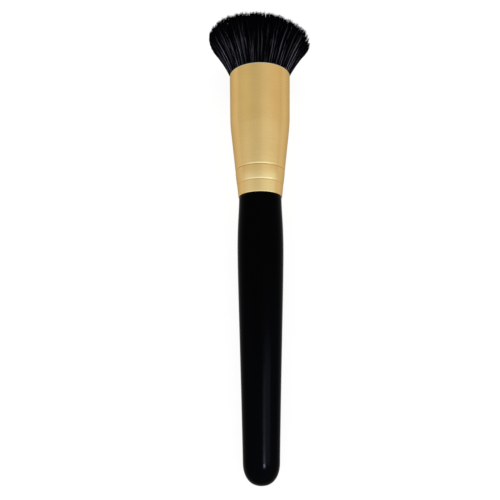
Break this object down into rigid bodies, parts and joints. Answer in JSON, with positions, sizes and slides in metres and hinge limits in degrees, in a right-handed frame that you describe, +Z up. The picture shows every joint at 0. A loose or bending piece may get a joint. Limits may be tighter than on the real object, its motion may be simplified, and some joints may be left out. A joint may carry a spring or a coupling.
{
  "type": "foundation brush",
  "caption": "Makeup brush with a tapered round handle, a flared metal ferrule with two crimps, and a dense, flat-topped tuft that spreads wider than the ferrule.",
  "frame": {"origin": "middle of the brush's plan, at the level of the table that it lies on", "axes": "+Y from the handle's round end towards the tuft, +Z up; the brush's own axis rises by 4.7 degrees towards the tuft"},
  "size_m": [0.037, 0.1592, 0.0368],
  "materials": {
    "lacquered_wood": "turned birch under a satin black lacquer",
    "gold_aluminium": "spun, satin, anodised pale gold",
    "epoxy": "cured amber epoxy",
    "root_resin": "cured dark resin round the bristle roots",
    "waxed_thread": "waxed cotton thread",
    "bristles": "black synthetic filament with tapered tips"
  },
  "bodies": {
    "root": {"handle": "lacquered_wood", "ferrule": "gold_aluminium", "glue_collar": "epoxy", "root_plug": "root_resin", "binding_thread": "waxed_thread", "bristle_tuft": "bristles"}
  },
  "joints": []
}
